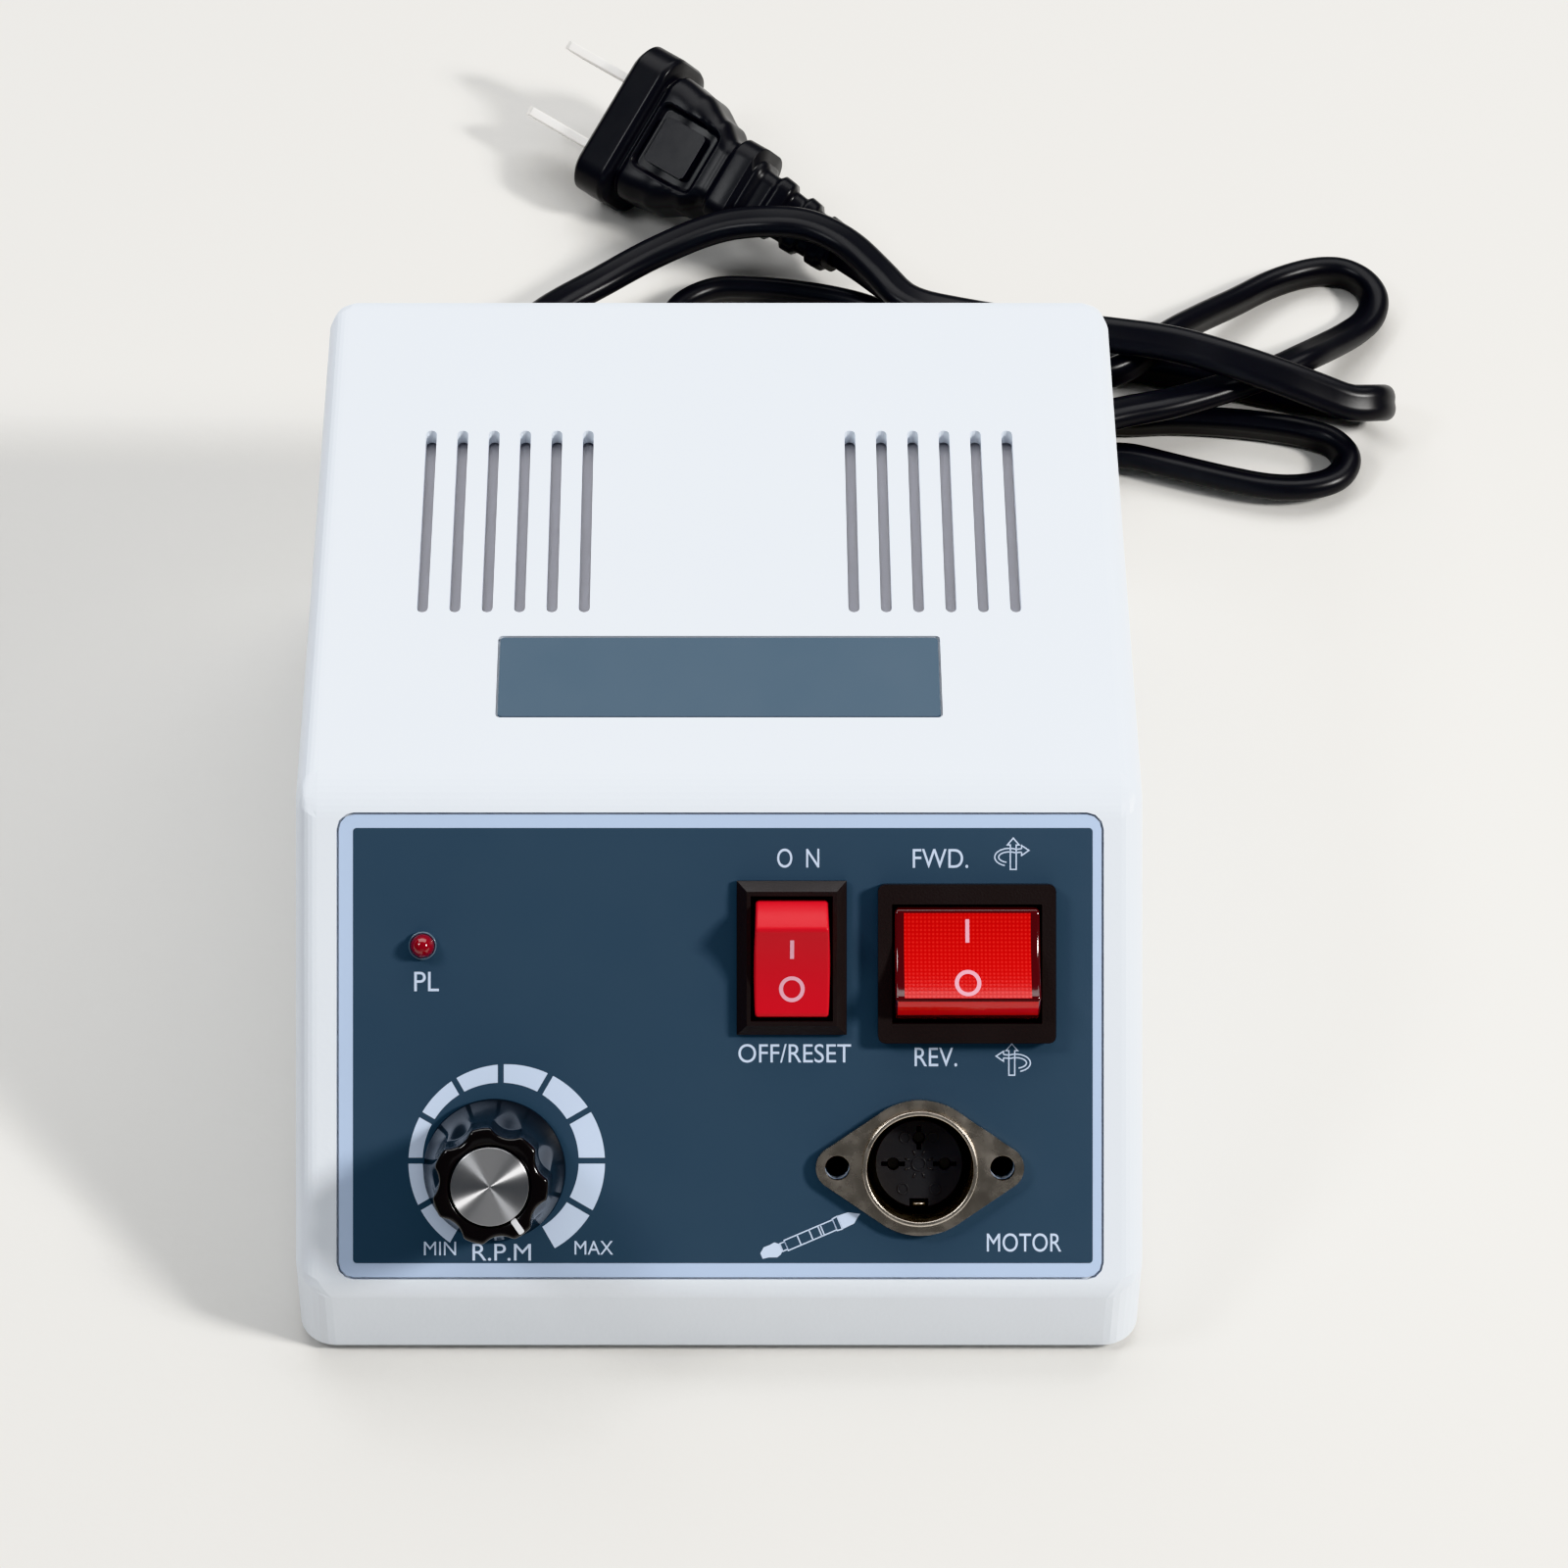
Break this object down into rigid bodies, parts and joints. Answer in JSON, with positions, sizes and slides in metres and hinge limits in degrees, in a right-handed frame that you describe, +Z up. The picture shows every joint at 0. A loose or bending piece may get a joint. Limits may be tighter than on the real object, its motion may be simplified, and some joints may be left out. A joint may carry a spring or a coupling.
{
  "type": "micromotor control box",
  "caption": "Desk-top control box of a dental laboratory micromotor with a sloping panel, speed knob, rocker switches, motor socket and a corded mains plug",
  "frame": {"origin": "On the table under the middle of the box and its feet, the cord left out.", "axes": "+Z is up, off the table. -Y is the front, where the sloping control panel faces the user. +X is the user's right. The cord leaves the back wall along +Y."},
  "size_m": [0.1662, 0.2564, 0.0616],
  "materials": {
    "white_abs": "satin",
    "grey_abs": "satin",
    "black_nylon": "matte",
    "glossy_black": "gloss",
    "red_rocker": "satin",
    "red_lens": "gloss",
    "white_paint": "satin",
    "panel_print": "satin print",
    "label_print": "satin print",
    "foot_rubber": "matte",
    "nickel_plate": "polished nickel",
    "zinc_plate": "zinc plated",
    "core_steel": "laminated",
    "spun_aluminium": "spun",
    "contact_brass": "bright",
    "coil_tape": "satin",
    "board_green": "satin"
  },
  "bodies": {
    "box": {"base_plate": "grey_abs", "board_screw_1": "zinc_plate", "board_screw_2": "zinc_plate", "board_screw_3": "zinc_plate", "board_screw_4": "zinc_plate", "bridge_rectifier": "black_nylon", "case_screw_1": "zinc_plate", "case_screw_2": "zinc_plate", "case_screw_3": "zinc_plate", "case_screw_4": "zinc_plate", "circuit_board": "board_green", "control_overlay": "panel_print", "cord_bushing": "black_nylon", "direction_switch_body": "black_nylon", "fuse_holder_body": "black_nylon", "fuse_nut": "black_nylon", "glass_fuse": "nickel_plate", "heatsink": "spun_aluminium", "indicator_led": "red_lens", "led_holder": "black_nylon", "name_plate": "label_print", "output_connector": "white_abs", "plug_blade_left": "contact_brass", "plug_blade_right": "contact_brass", "plug_body": "glossy_black", "pot_body": "zinc_plate", "pot_nut": "zinc_plate", "power_cord": "glossy_black", "power_switch_body": "black_nylon", "power_transistor": "black_nylon", "rubber_foot_1": "foot_rubber", "rubber_foot_2": "foot_rubber", "rubber_foot_3": "foot_rubber", "rubber_foot_4": "foot_rubber", "smoothing_capacitor": "black_nylon", "socket_contact_left": "contact_brass", "socket_contact_right": "contact_brass", "socket_contact_top": "contact_brass", "socket_flange": "nickel_plate", "socket_insert": "black_nylon", "top_housing": "white_abs", "transformer_bracket": "zinc_plate", "transformer_coil": "coil_tape", "transformer_core": "core_steel", "transformer_screw_1": "zinc_plate", "transformer_screw_2": "zinc_plate"},
    "knob_assembly": {"speed_knob": "glossy_black", "knob_cap": "spun_aluminium", "knob_pointer": "white_paint", "pot_shaft": "spun_aluminium"},
    "power_rocker_assembly": {"power_rocker": "red_rocker", "power_plunger": "contact_brass"},
    "power_lever": {"power_contact_lever": "contact_brass"},
    "direction_rocker_assembly": {"direction_rocker": "red_lens", "direction_plunger": "contact_brass"},
    "direction_lever": {"direction_contact_lever": "contact_brass"},
    "fuse_cap_body": {"fuse_cap": "black_nylon"}
  },
  "joints": [
    {"name": "speed_turn", "type": "hinge", "parent": "box", "child": "knob_assembly", "pos_m": [-0.0302, -0.06778, 0.02561], "axis": [0, -0.7071, 0.7071], "range_deg": [-5, 295]},
    {"name": "power_rock", "type": "hinge", "parent": "box", "child": "power_rocker_assembly", "pos_m": [0.00976, -0.04727, 0.04541], "axis": [1, 0, 0], "range_deg": [-40, 0]},
    {"name": "power_lever_rock", "type": "hinge", "parent": "box", "child": "power_lever", "pos_m": [0.00976, -0.04077, 0.0389], "axis": [1, 0, 0], "range_deg": [0, 14]},
    {"name": "direction_rock", "type": "hinge", "parent": "box", "child": "direction_rocker_assembly", "pos_m": [0.0333, -0.04777, 0.04491], "axis": [1, 0, 0], "range_deg": [0, 36]},
    {"name": "direction_lever_rock", "type": "hinge", "parent": "box", "child": "direction_lever", "pos_m": [0.0333, -0.04127, 0.03841], "axis": [1, 0, 0], "range_deg": [-12.6, 0]},
    {"name": "fuse_cap_turn", "type": "hinge", "parent": "box", "child": "fuse_cap_body", "pos_m": [0.035, 0.06445, 0.0285], "axis": [0, 1, 0], "range_deg": [0, 90]}
  ],
  "couplings": [
    {"joint": "power_lever_rock", "follows": "power_rock", "ratio": -0.35},
    {"joint": "direction_lever_rock", "follows": "direction_rock", "ratio": -0.35}
  ]
}
